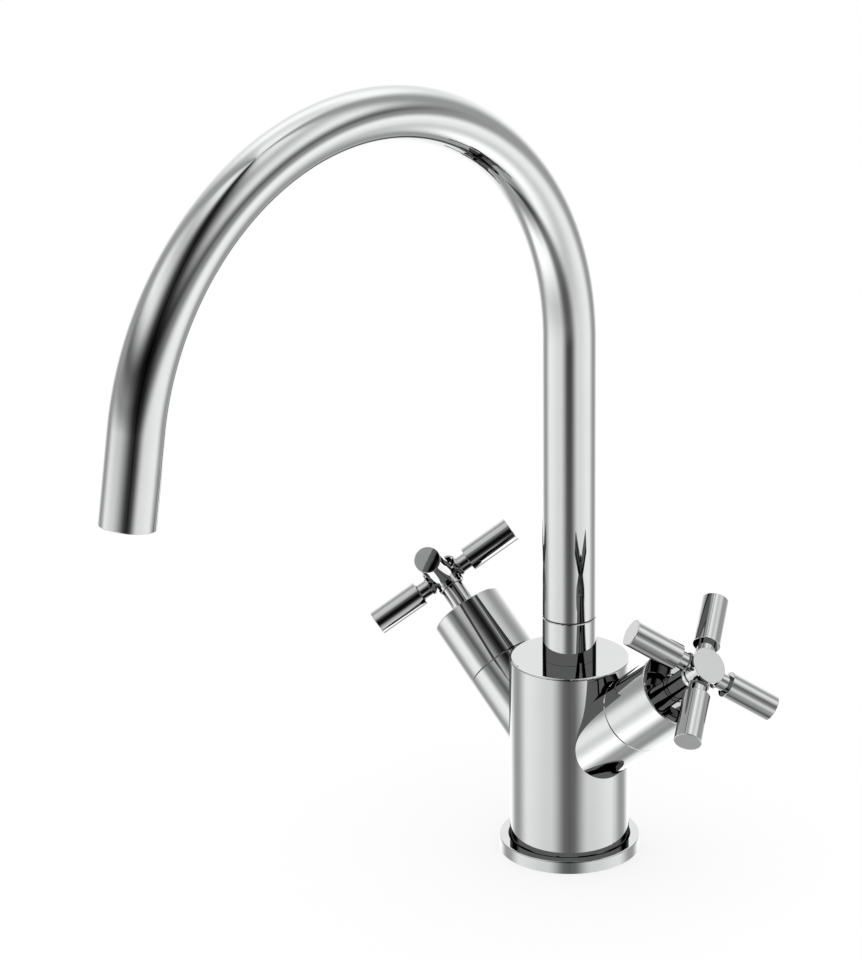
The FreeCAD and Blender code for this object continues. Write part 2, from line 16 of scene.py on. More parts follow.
import bpy
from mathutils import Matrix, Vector

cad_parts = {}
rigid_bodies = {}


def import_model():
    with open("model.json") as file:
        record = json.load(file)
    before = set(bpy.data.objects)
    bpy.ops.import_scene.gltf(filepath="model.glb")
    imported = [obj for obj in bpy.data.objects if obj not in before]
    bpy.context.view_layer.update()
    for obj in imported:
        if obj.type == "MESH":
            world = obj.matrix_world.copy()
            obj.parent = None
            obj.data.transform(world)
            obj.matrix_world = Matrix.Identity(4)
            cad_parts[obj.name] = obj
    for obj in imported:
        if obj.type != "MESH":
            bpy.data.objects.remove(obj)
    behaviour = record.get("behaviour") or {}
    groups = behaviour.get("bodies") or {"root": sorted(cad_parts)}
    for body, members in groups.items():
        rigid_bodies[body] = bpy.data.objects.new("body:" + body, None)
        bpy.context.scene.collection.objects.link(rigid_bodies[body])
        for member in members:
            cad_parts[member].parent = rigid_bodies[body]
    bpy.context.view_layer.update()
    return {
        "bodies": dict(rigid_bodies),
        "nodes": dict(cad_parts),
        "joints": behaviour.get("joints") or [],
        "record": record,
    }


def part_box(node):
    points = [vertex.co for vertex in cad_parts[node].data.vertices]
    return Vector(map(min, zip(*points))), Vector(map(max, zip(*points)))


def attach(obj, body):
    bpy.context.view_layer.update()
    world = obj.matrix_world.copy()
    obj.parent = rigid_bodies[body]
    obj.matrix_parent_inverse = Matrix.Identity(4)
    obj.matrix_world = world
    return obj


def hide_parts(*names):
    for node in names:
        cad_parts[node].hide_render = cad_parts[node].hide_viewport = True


LOG = logging.getLogger("mixer_tap")
MM = 0.001

WHITE = (1.0, 1.0, 1.0, 1.0)
EVEN = (1.0, 1.0, 1.0)

Triple = tuple[float, float, float]
Stops = tuple[tuple[float, float], ...]
Value = Union[int, float, "Signal"]


class Slot(Enum):
    """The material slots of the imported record."""

    CHROME = "chrome_plate"
    BRASS = "bare_brass"
    RUBBER = "black_rubber"
    NYLON = "black_nylon"
    PLASTIC = "grey_plastic"
    CERAMIC = "white_ceramic"
    STEEL = "stainless_steel"


class Body(Enum):
    """The moving bodies of the tap."""

    TAP = "tap_body"
    SPOUT = "spout"
    HOT = "hot_handle"
    COLD = "cold_handle"


class Valve(Enum):
    """The two valves: the prefix of their parts and the joint that turns their handle."""

    HOT = ("hot_", Body.HOT, "hot_handle_turn")
    COLD = ("cold_", Body.COLD, "cold_handle_turn")

    def node(self, name: str) -> str:
        """Name of one of this valve's nodes."""
        return self.value[0] + name

    @property
    def handle(self) -> Body:
        """The body that this valve's handle rides on."""
        return self.value[1]

    @property
    def joint(self) -> str:
        """Name of the joint that turns the handle."""
        return self.value[2]


class Signal:
    """A shader socket that can stand in a Python expression. Each operator adds one Math node."""

    def __init__(self, graph: "Graph", socket: bpy.types.NodeSocket) -> None:
        """Keeps the socket and the graph that it belongs to."""
        self.graph = graph
        self.socket = socket

    def output(self, name: str) -> "Signal":
        """Another output of the same node."""
        return Signal(self.graph, self.socket.node.outputs[name])

    def math(self, operation: str, *others: Value) -> "Signal":
        """One Math node with this socket as its first value.

        Args:
            operation: The Math node's operation.
            others: The values or sockets that follow.

        Returns:
            The node's result.
        """
        sockets = {index: value for index, value in enumerate((self, *others))}
        return self.graph.node("ShaderNodeMath", {"operation": operation}, sockets)

    def __add__(self, other: Value) -> "Signal":
        """self + other."""
        return self.math("ADD", other)

    __radd__ = __add__

    def __sub__(self, other: Value) -> "Signal":
        """self - other."""
        return self.math("SUBTRACT", other)

    def __rsub__(self, other: float) -> "Signal":
        """other - self."""
        return self.math("MULTIPLY_ADD", -1.0, other)

    def __mul__(self, other: Value) -> "Signal":
        """self * other."""
        return self.math("MULTIPLY", other)

    __rmul__ = __mul__


class Graph:
    """A node tree, with one method that adds any node."""

    def __init__(self, tree: bpy.types.NodeTree) -> None:
        """Empties the tree."""
        self.tree = tree
        tree.nodes.clear()

    def node(
        self,
        kind: str,
        settings: Optional[dict[str, Any]] = None,
        sockets: Optional[dict[Union[str, int], Any]] = None,
        output: Union[str, int] = 0,
    ) -> Signal:
        """Adds a node.

        Args:
            kind: The node's type.
            settings: Its settings, set first. "stops" are a colour ramp's places and grey levels.
            sockets: Values or links of its inputs.
            output: The output that is returned.

        Returns:
            That output as a signal. An output node has none and returns its first input.
        """
        made = self.tree.nodes.new(kind)
        for name, value in (settings or {}).items():
            if name == "stops":
                self._set_stops(made.color_ramp, value)
            else:
                setattr(made, name, value)
        for name, value in (sockets or {}).items():
            if isinstance(value, Signal):
                self.tree.links.new(value.socket, made.inputs[name])
            else:
                made.inputs[name].default_value = value
        return Signal(self, made.outputs[output] if made.outputs else made.inputs[0])

    @staticmethod
    def _set_stops(ramp: bpy.types.ColorRamp, stops: Stops) -> None:
        """Gives a colour ramp its stops, with soft steps between them.

        Args:
            ramp: The ramp.
            stops: Places from 0 to 1 in rising order, each with its grey level.
        """
        ramp.interpolation = "EASE"
        while len(ramp.elements) < len(stops):
            ramp.elements.new(1.0)
        for element, (place, level) in zip(ramp.elements, stops):
            element.position = place
            element.color = (level, level, level, 1.0)

    def noise(self, place: Signal, per_metre: float, detail: float = 3.0) -> Signal:
        """Soft noise with about so many spots to the metre.

        Args:
            place: Where on the surface, as a vector.
            per_metre: How many spots to the metre.
            detail: Octaves of finer noise.

        Returns:
            A value of about 0.3 to 0.7.
        """
        sockets = {"Vector": place, "Scale": per_metre, "Detail": detail}
        return self.node("ShaderNodeTexNoise", sockets=sockets)

    def blend(self, factor: Signal, low: Triple, high: Triple) -> Signal:
        """A colour between two others."""
        sockets = {"Factor": factor, "A": (*low, 1.0), "B": (*high, 1.0)}
        return self.node("ShaderNodeMix", {"data_type": "RGBA"}, sockets, "Result")

    def span(self, value: Signal, low: float, high: float, to_low: float, to_high: float) -> Signal:
        """A value carried smoothly from one range to another, and held at its ends.

        Args:
            value: The value.
            low: Where its own range starts.
            high: Where its own range ends.
            to_low: The result at low and below.
            to_high: The result at high and above.

        Returns:
            The result.
        """
        settings = {"interpolation_type": "SMOOTHSTEP"}
        sockets = {
            "Value": value, "From Min": low, "From Max": high, "To Min": to_low, "To Max": to_high,
        }
        return self.node("ShaderNodeMapRange", settings, sockets)


@dataclass(frozen=True)
class Finish:
    """A surface finish: colour, gloss, and how both vary over the surface.

    Attributes:
        GRAIN_DETAIL: Octaves of the grain's noise.
        GRAIN_SHARE: Share of the grain in the mottle.
        MOTTLE_RANGE: Range of the noise that the mottle is spread over.
        slot: The record's slot that the finish stands for.
        light: Colour of the lighter patches.
        dark: Colour of the darker patches.
        metallic: 1 for bare or plated metal.
        rough_low: Least roughness.
        rough_high: Greatest roughness.
        mottle_per_metre: How many patches to the metre.
        grain_per_metre: How many grains of the relief to the metre.
        grain_depth: Height of the relief.
        grain_stretch: How close the grain lies along X, Y and Z. Less than 1 draws it out.
        coat: Weight of a clear glaze over it.
    """

    GRAIN_DETAIL = 2.0
    GRAIN_SHARE = 0.3
    MOTTLE_RANGE = (0.35, 0.65)

    slot: Slot
    light: Triple
    dark: Triple
    metallic: float
    rough_low: float
    rough_high: float
    mottle_per_metre: float
    grain_per_metre: float
    grain_depth: float
    grain_stretch: Triple = EVEN
    coat: float = 0.0

    def material(self) -> bpy.types.Material:
        """Builds the finish as a node material.

        Returns:
            The material.
        """
        made = bpy.data.materials.new(self.slot.value)
        made.use_nodes = True
        graph = Graph(made.node_tree)
        place = graph.node("ShaderNodeTexCoord", output="Object")
        stretch = {"Vector": place, "Scale": self.grain_stretch}
        drawn = graph.node("ShaderNodeMapping", sockets=stretch)
        patches = graph.noise(place, self.mottle_per_metre)
        grain = graph.noise(drawn, self.grain_per_metre, self.GRAIN_DETAIL)
        mixed = patches * (1.0 - self.GRAIN_SHARE) + grain * self.GRAIN_SHARE
        mottle = graph.span(mixed, *self.MOTTLE_RANGE, 0.0, 1.0)
        relief = {"Strength": 1.0, "Distance": self.grain_depth, "Height": grain}
        sockets = {
            "Base Color": graph.blend(mottle, self.light, self.dark),
            "Metallic": self.metallic,
            "Roughness": mottle * (self.rough_high - self.rough_low) + self.rough_low,
            "Coat Weight": self.coat,
            "Normal": graph.node("ShaderNodeBump", sockets=relief),
        }
        shader = graph.node("ShaderNodeBsdfPrincipled", sockets=sockets)
        graph.node("ShaderNodeOutputMaterial", sockets={"Surface": shader})
        return made


FINISHES = (
    Finish(
        slot=Slot.CHROME, light=(0.925, 0.93, 0.935), dark=(0.905, 0.91, 0.918), metallic=1.0,
        rough_low=0.008, rough_high=0.02, mottle_per_metre=45.0,
        grain_per_metre=140.0, grain_depth=0.004 * MM,
    ),
    Finish(
        slot=Slot.BRASS, light=(0.80, 0.62, 0.30), dark=(0.68, 0.49, 0.21), metallic=1.0,
        rough_low=0.24, rough_high=0.42, mottle_per_metre=160.0,
        grain_per_metre=1400.0, grain_depth=0.03 * MM, grain_stretch=(0.12, 0.12, 1.0),
    ),
    Finish(
        slot=Slot.RUBBER, light=(0.034, 0.034, 0.036), dark=(0.02, 0.02, 0.021), metallic=0.0,
        rough_low=0.55, rough_high=0.75, mottle_per_metre=300.0,
        grain_per_metre=2600.0, grain_depth=0.03 * MM,
    ),
    Finish(
        slot=Slot.NYLON, light=(0.042, 0.042, 0.044), dark=(0.026, 0.026, 0.028), metallic=0.0,
        rough_low=0.38, rough_high=0.52, mottle_per_metre=220.0,
        grain_per_metre=1800.0, grain_depth=0.02 * MM,
    ),
    Finish(
        slot=Slot.PLASTIC, light=(0.44, 0.45, 0.46), dark=(0.37, 0.38, 0.39), metallic=0.0,
        rough_low=0.42, rough_high=0.58, mottle_per_metre=260.0,
        grain_per_metre=2200.0, grain_depth=0.03 * MM,
    ),
    Finish(
        slot=Slot.CERAMIC, light=(0.88, 0.87, 0.84), dark=(0.83, 0.815, 0.78), metallic=0.0,
        rough_low=0.12, rough_high=0.24, mottle_per_metre=500.0,
        grain_per_metre=3000.0, grain_depth=0.008 * MM, coat=0.3,
    ),
    Finish(
        slot=Slot.STEEL, light=(0.62, 0.62, 0.62), dark=(0.52, 0.52, 0.53), metallic=1.0,
        rough_low=0.22, rough_high=0.36, mottle_per_metre=240.0,
        grain_per_metre=1600.0, grain_depth=0.02 * MM, grain_stretch=(0.08, 1.0, 1.0),
    ),
)


class Spine(Protocol):
    """A line that a turned piece follows."""

    def place(self, along: float) -> tuple[Vector, Vector]:
        """Middle and direction of the line at a distance along it."""

    def stops(self, start: float, stop: float) -> list[float]:
        """Distances between start and stop where the line needs a ring of its own."""


@dataclass(frozen=True)
class StraightSpine:
    """A straight axis through a point."""

    origin: Vector
    direction: Vector

    def place(self, along: float) -> tuple[Vector, Vector]:
        """Middle and direction of the axis at a distance along it."""
        return self.origin + self.direction * along, self.direction

    def stops(self, start: float, stop: float) -> list[float]:
        """A straight axis needs no rings between two corners."""
        return []

    def foot(self, point: Vector) -> Vector:
        """The axis's nearest point."""
        return self.origin + self.direction * (point - self.origin).dot(self.direction)

    def measure(self, node: bpy.types.Object) -> "Extent":
        """How a CAD node lies about this axis.

        Args:
            node: The node's object.

        Returns:
            Its ends along the axis and its least and greatest radius.
        """
        arms = [vertex.co - self.origin for vertex in node.data.vertices]
        along = [arm.dot(self.direction) for arm in arms]
        radii = [(arm - self.direction * far).length for arm, far in zip(arms, along)]
        return Extent(min(along), max(along), min(radii), max(radii))


@dataclass(frozen=True)
class Extent:
    """Ends of a piece along an axis, and its least and greatest radius about it."""

    low: float
    high: float
    inner: float
    outer: float


@dataclass(frozen=True)
class SwanSpine:
    """Middle line of the spout: an upright riser, one bend and a short straight end.

    Distances along it are heights on the riser, and go on round the bend from there.
    """

    riser_top: float
    bend_radius: float
    bend_turn: float
    bend_steps: int

    def place(self, along: float) -> tuple[Vector, Vector]:
        """Middle and direction of the line at a distance along it.

        Args:
            along: The distance.

        Returns:
            The point and the unit direction.
        """
        past = max(0.0, along - self.riser_top)
        turn = min(past / self.bend_radius, self.bend_turn)
        direction = Vector((0.0, -math.sin(turn), math.cos(turn)))
        middle = Vector((
            0.0,
            -self.bend_radius * (1.0 - math.cos(turn)),
            min(along, self.riser_top) + self.bend_radius * math.sin(turn),
        ))
        return middle + direction * max(0.0, past - self.bend_radius * self.bend_turn), direction

    def stops(self, start: float, stop: float) -> list[float]:
        """Evenly spaced rings round the bend, in the order of travel.

        Args:
            start: Distance that a line of the outline starts from.
            stop: Distance that it ends at.

        Returns:
            The distances between the two.
        """
        length = self.bend_radius * self.bend_turn
        steps = range(self.bend_steps + 1)
        rings = [self.riser_top + length * step / self.bend_steps for step in steps]
        inside = [ring for ring in rings if min(start, stop) < ring < max(start, stop)]
        return inside if start < stop else inside[::-1]


@dataclass(frozen=True)
class Corner:
    """A corner of a turned outline: its radius, its place along the axis and its rounding."""

    radius: float
    along: float
    rounded: float = 0.0

    @property
    def point(self) -> Vector:
        """The corner as a point of the outline."""
        return Vector((self.radius, self.along))


@dataclass(frozen=True)
class Stroke:
    """A short line of an outline, with the outward direction at both of its ends."""

    start: Vector
    stop: Vector
    start_normal: Vector
    stop_normal: Vector


class Outline:
    """The section of a turned piece: corners with the solid on their left, some of them rounded.

    Attributes:
        ROUND_STEPS: Faces of a rounded corner.
        CLOSED_GAP: Ends of the outline that lie closer than this are one point.
        STEEP: An axis that leans further towards X than this has its first spoke near Y.
    """

    ROUND_STEPS = 8
    CLOSED_GAP = 1e-9
    STEEP = 0.5

    def __init__(self, corners: Sequence[Corner]) -> None:
        """Keeps the corners. An outline that starts and ends on the axis isn't closed along it."""
        self.corners = corners

    def strokes(self, spine: Spine) -> list[Stroke]:
        """The outline as short lines, with rings added where the spine bends.

        Args:
            spine: The line that the piece follows.

        Returns:
            The strokes in order.
        """
        made: list[Stroke] = []
        count = len(self.corners)
        on_axis = self.corners[0].radius == 0.0 and self.corners[-1].radius == 0.0
        rounds = [self._round(index) for index in range(count)]
        for index in range(count):
            made += rounds[index]
            if on_axis and index == count - 1:
                break
            start = rounds[index][-1].stop if rounds[index] else self.corners[index].point
            after = (index + 1) % count
            stop = rounds[after][0].start if rounds[after] else self.corners[after].point
            made += self._line(start, stop, spine)
        return made

    @staticmethod
    def _outward(direction: Vector) -> Vector:
        """Outward direction beside a direction of travel."""
        return Vector((direction.y, -direction.x)).normalized()

    def _line(self, start: Vector, stop: Vector, spine: Spine) -> list[Stroke]:
        """A straight line of the outline, cut at the rings of the spine.

        Args:
            start: The point that it starts from.
            stop: The point that it ends at.
            spine: The line that the piece follows.

        Returns:
            Its strokes.
        """
        normal = self._outward(stop - start)
        points = [start]
        for along in spine.stops(start.y, stop.y):
            share = (along - start.y) / (stop.y - start.y)
            points.append(start.lerp(stop, share))
        points.append(stop)
        return [Stroke(first, second, normal, normal) for first, second in zip(points, points[1:])]

    def _round(self, index: int) -> list[Stroke]:
        """The arc at a rounded corner, or nothing at a sharp one.

        Args:
            index: Number of the corner.

        Returns:
            The arc's strokes.
        """
        corner = self.corners[index]
        if not corner.rounded:
            return []
        arrive = (corner.point - self.corners[index - 1].point).normalized()
        leave = (self.corners[(index + 1) % len(self.corners)].point - corner.point).normalized()
        turn = arrive.angle(leave)
        bulge = math.copysign(corner.rounded, arrive.cross(leave))
        first = self._outward(arrive)
        last = self._outward(leave)
        half = (leave - arrive).normalized()
        centre = corner.point + half * (corner.rounded / math.cos(turn / 2.0))
        steps = range(self.ROUND_STEPS + 1)
        normals = [first.slerp(last, step / self.ROUND_STEPS) for step in steps]
        points = [centre + normal * bulge for normal in normals]
        pairs = zip(points, points[1:], normals, normals[1:])
        return [Stroke(start, stop, normal, after) for start, stop, normal, after in pairs]

    def turn(self, name: str, spine: Spine, sides: int) -> bpy.types.Object:
        """Turns the outline about a spine into a closed mesh with exact normals.

        Args:
            name: Name of the piece.
            spine: The line that it follows.
            sides: How many sides a full turn has.

        Returns:
            The new object, linked to the scene.
        """
        strokes = self.strokes(spine)
        closed = (strokes[0].start - strokes[-1].stop).length < self.CLOSED_GAP
        section = [stroke.start for stroke in strokes] + ([] if closed else [strokes[-1].stop])
        vertices: list[Vector] = []
        rings: list[list[int]] = []
        for point in section:
            middle, axis = spine.place(point.y)
            spokes = self._spokes(axis, sides) if point.x > 0.0 else [Vector()]
            first = len(vertices)
            vertices += [middle + spoke * point.x for spoke in spokes]
            rings.append([first + index % len(spokes) for index in range(sides)])
        faces: list[list[int]] = []
        normals: list[Vector] = []
        for index, stroke in enumerate(strokes):
            low, high = rings[index], rings[(index + 1) % len(rings)]
            low_normals = self._normals(spine, stroke.start, stroke.start_normal, sides)
            high_normals = self._normals(spine, stroke.stop, stroke.stop_normal, sides)
            for side in range(sides):
                after = (side + 1) % sides
                corners = (
                    (low[side], low_normals[side]), (low[after], low_normals[after]),
                    (high[after], high_normals[after]), (high[side], high_normals[side]),
                )
                kept = dict(corners)
                faces.append(list(kept))
                normals += kept.values()
        mesh = bpy.data.meshes.new(name)
        mesh.from_pydata(vertices, [], faces)
        mesh.shade_smooth()
        mesh.normals_split_custom_set(normals)
        piece = bpy.data.objects.new(name, mesh)
        bpy.context.scene.collection.objects.link(piece)
        return piece

    def _spokes(self, axis: Vector, sides: int) -> list[Vector]:
        """Unit directions evenly round an axis.

        Args:
            axis: The axis, of unit length.
            sides: How many directions a full turn has.

        Returns:
            The directions.
        """
        flat = Vector((1.0, 0.0, 0.0)) if abs(axis.x) < self.STEEP else Vector((0.0, 1.0, 0.0))
        first = (flat - axis * flat.dot(axis)).normalized()
        second = axis.cross(first)
        turns = [math.tau * side / sides for side in range(sides)]
        return [first * math.cos(turn) + second * math.sin(turn) for turn in turns]

    def _normals(self, spine: Spine, point: Vector, normal: Vector, sides: int) -> list[Vector]:
        """Outward directions round one ring."""
        axis = spine.place(point.y)[1]
        return [spoke * normal.x + axis * normal.y for spoke in self._spokes(axis, sides)]


class Workshop:
    """The loaded frame and the finishes, with the steps that all sub-assemblies share."""

    def __init__(self, frame: dict[str, Any]) -> None:
        """Builds the finishes and finds the slot of each node in the record.

        Args:
            frame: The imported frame, as loaded.
        """
        self.nodes: dict[str, bpy.types.Object] = frame["nodes"]
        self.joints = {joint["name"]: joint for joint in frame["joints"]}
        self.materials = {finish.slot: finish.material() for finish in FINISHES}
        parts = frame["record"]["subparts"]
        self.slots = {part["node"]: Slot(part["material_slot"]) for part in parts}

    def axis(self, joint: str) -> StraightSpine:
        """The axis of a joint, pointing up and out.

        Args:
            joint: Name of the joint.

        Returns:
            The axis.
        """
        found = self.joints[joint]
        direction = Vector(found["axis"]).normalized()
        return StraightSpine(Vector(found["pos_m"]), direction if direction.z > 0.0 else -direction)

    def dress(self, name: str) -> None:
        """Gives a CAD node the finish of its slot.

        Args:
            name: Name of the node.
        """
        materials = self.nodes[name].data.materials
        materials.clear()
        materials.append(self.materials[self.slots[name]])
        LOG.info("%s keeps its mesh, in %s", name, self.slots[name].value)

    def turn(
        self, name: str, body: Body, spine: Spine, corners: Sequence[Corner], sides: int
    ) -> None:
        """Turns a fine mesh in place of a CAD node.

        Args:
            name: Name of the node that the new piece stands for.
            body: The body that it rides on.
            spine: The line that it is turned on.
            corners: Its outline.
            sides: How many sides a full turn has.
        """
        piece = Outline(corners).turn(name + ".turned", spine, sides)
        piece.data.materials.append(self.materials[self.slots[name]])
        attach(piece, body.value)
        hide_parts(name)
        LOG.info("%s is turned anew, %d faces", name, len(piece.data.polygons))


UPRIGHT = StraightSpine(Vector((0.0, 0.0, 0.0)), Vector((0.0, 0.0, 1.0)))


@dataclass
class BodyColumn:
    """The cast body, its base ring and the collar under the spout.

    Attributes:
        body_radius: Radius of the body where it stands on the ring.
        base_edge: Rounding of the ring's top edge.
        seat_slope: Width of the slope from the ring's top down into the seam.
        seat_reach: How far the seam runs in under the body.
        seat_depth: Depth of that seam.
        seam_bevel: Bevel of the seam that the spout turns at.
        sides: Sides of a full turn.
    """

    body_radius: float = 24.7 * MM
    base_edge: float = 0.6 * MM
    seat_slope: float = 0.7 * MM
    seat_reach: float = 2.4 * MM
    seat_depth: float = 0.35 * MM
    seam_bevel: float = 0.3 * MM
    sides: int = 192

    def build(self, shop: Workshop) -> None:
        """Turns the ring and the collar, and dresses the casting and the hidden rings.

        Args:
            shop: The frame and the finishes.
        """
        for name in ("mixer_body", "base_seal", "spout_seam_ring", "spout_glide_washers"):
            shop.dress(name)
        self.turn_base_ring(shop)
        self.turn_collar(shop)

    def turn_base_ring(self, shop: Workshop) -> None:
        """The trim ring, with a fine seam round the body's edge and the seal's groove underneath.

        Args:
            shop: The frame and the finishes.
        """
        ring = UPRIGHT.measure(shop.nodes["base_ring"])
        seal = UPRIGHT.measure(shop.nodes["base_seal"])
        seam = ring.high - self.seat_depth
        seat = self.body_radius - self.seat_reach
        corners = (
            Corner(ring.inner, ring.low), Corner(seal.inner, ring.low),
            Corner(seal.inner, seal.high), Corner(seal.outer, seal.high),
            Corner(seal.outer, ring.low), Corner(ring.outer, ring.low),
            Corner(ring.outer, ring.high, self.base_edge),
            Corner(self.body_radius + self.seat_slope, ring.high), Corner(self.body_radius, seam),
            Corner(seat, seam), Corner(seat, ring.high), Corner(ring.inner, ring.high),
        )
        shop.turn("base_ring", Body.TAP, UPRIGHT, corners, self.sides)

    def turn_collar(self, shop: Workshop) -> None:
        """The collar, with the fine bevel of the seam that the spout turns at.

        Args:
            shop: The frame and the finishes.
        """
        collar = UPRIGHT.measure(shop.nodes["spout_collar"])
        washers = UPRIGHT.measure(shop.nodes["spout_glide_washers"])
        spigot = washers.outer + self.seam_bevel
        body_top = UPRIGHT.measure(shop.nodes["mixer_body"]).high
        corners = (
            Corner(collar.inner, collar.low), Corner(spigot, collar.low), Corner(spigot, body_top),
            Corner(collar.outer, body_top), Corner(collar.outer, collar.high - self.seam_bevel),
            Corner(collar.outer - self.seam_bevel, collar.high), Corner(collar.inner, collar.high),
        )
        shop.turn("spout_collar", Body.TAP, UPRIGHT, corners, self.sides)


@dataclass
class SwanNeck:
    """The bent spout tube, its tailpiece and the flow straightener in its outlet.

    Attributes:
        riser_top: Height where the upright riser goes over into the bend.
        end_lean: How far the straight end leans from the upright.
        end_straight: Length of the straight end.
        wall: Wall of the tube.
        rim_round: Rounding of the outlet's rim.
        seam_bevel: Bevel of the seam above the collar.
        bend_steps: Rings round the bend.
        sides: Sides of a full turn.
    """

    riser_top: float = 221.0 * MM
    end_lean: float = math.radians(9.5)
    end_straight: float = 36.4 * MM
    wall: float = 1.5 * MM
    rim_round: float = 0.495 * MM
    seam_bevel: float = 0.3 * MM
    bend_steps: int = 144
    sides: int = 128

    def build(self, shop: Workshop) -> None:
        """Bends the tube and dresses what it holds.

        Args:
            shop: The frame and the finishes.
        """
        for name in ("spout_tailpiece", "tailpiece_o_rings", "aerator_insert", "aerator_housing",
                     "aerator_grid", "aerator_strainer", "aerator_seal"):
            shop.dress(name)
        low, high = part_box("spout_tube")
        radius = high.x
        turn = math.pi - self.end_lean
        spine = SwanSpine(self.riser_top, high.z - self.riser_top - radius, turn, self.bend_steps)
        outlet = self.riser_top + spine.bend_radius * turn + self.end_straight
        inner = radius - self.wall
        corners = (
            Corner(inner, low.z), Corner(radius - self.seam_bevel, low.z),
            Corner(radius, low.z + self.seam_bevel), Corner(radius, outlet, self.rim_round),
            Corner(inner, outlet, self.rim_round),
        )
        shop.turn("spout_tube", Body.SPOUT, spine, corners, self.sides)


@dataclass
class ValveArm:
    """One valve: the shroud and its guide bush outside, the ceramic cartridge inside.

    Attributes:
        valve: Which of the two it is.
        seam_bevel: Bevel of the seam between the shroud and the body.
        shroud_wall: Wall of the shroud.
        shroud_end: Thickness of the shroud's end.
        shroud_edge: Rounding of that end's outer edge.
        groove_width: Width of the groove between the bush and the shroud.
        groove_depth: Depth of that groove.
        sides: Sides of a full turn.
    """

    valve: Valve
    seam_bevel: float = 0.3 * MM
    shroud_wall: float = 2.0 * MM
    shroud_end: float = 4.0 * MM
    shroud_edge: float = 0.5 * MM
    groove_width: float = 0.5 * MM
    groove_depth: float = 0.8 * MM
    sides: int = 160

    def build(self, shop: Workshop) -> None:
        """Turns the shroud and the bush, and dresses the cartridge and its seals.

        Args:
            shop: The frame and the finishes.
        """
        for name in ("cartridge_body", "cartridge_o_ring", "seat_seal", "fixed_disc"):
            shop.dress(self.valve.node(name))
        axis = shop.axis(self.valve.joint)
        self.turn_shroud(shop, axis)
        self.turn_bush(shop, axis)

    def turn_shroud(self, shop: Workshop, axis: StraightSpine) -> None:
        """The sleeve over the valve, open towards the body.

        Args:
            shop: The frame and the finishes.
            axis: The valve's axis.
        """
        name = self.valve.node("valve_shroud")
        sleeve = axis.measure(shop.nodes[name])
        bore = sleeve.outer - self.shroud_wall
        roof = sleeve.high - self.shroud_end
        corners = (
            Corner(bore, sleeve.low), Corner(sleeve.outer - self.seam_bevel, sleeve.low),
            Corner(sleeve.outer, sleeve.low + self.seam_bevel),
            Corner(sleeve.outer, sleeve.high, self.shroud_edge), Corner(sleeve.inner, sleeve.high),
            Corner(sleeve.inner, roof), Corner(bore, roof),
        )
        shop.turn(name, Body.TAP, axis, corners, self.sides)

    def turn_bush(self, shop: Workshop, axis: StraightSpine) -> None:
        """The guide ring, with the groove that shows as a thin circle in the shroud's end.

        Args:
            shop: The frame and the finishes.
            axis: The valve's axis.
        """
        name = self.valve.node("stem_bush")
        bush = axis.measure(shop.nodes[name])
        sleeve = axis.measure(shop.nodes[self.valve.node("valve_shroud")])
        roof = sleeve.high - self.shroud_end
        groove = bush.high - self.groove_depth
        face = sleeve.inner - self.groove_width
        corners = (
            Corner(bush.inner, bush.low), Corner(bush.outer, bush.low), Corner(bush.outer, roof),
            Corner(sleeve.inner, roof), Corner(sleeve.inner, groove), Corner(face, groove),
            Corner(face, bush.high), Corner(bush.inner, bush.high),
        )
        shop.turn(name, Body.TAP, axis, corners, self.sides)


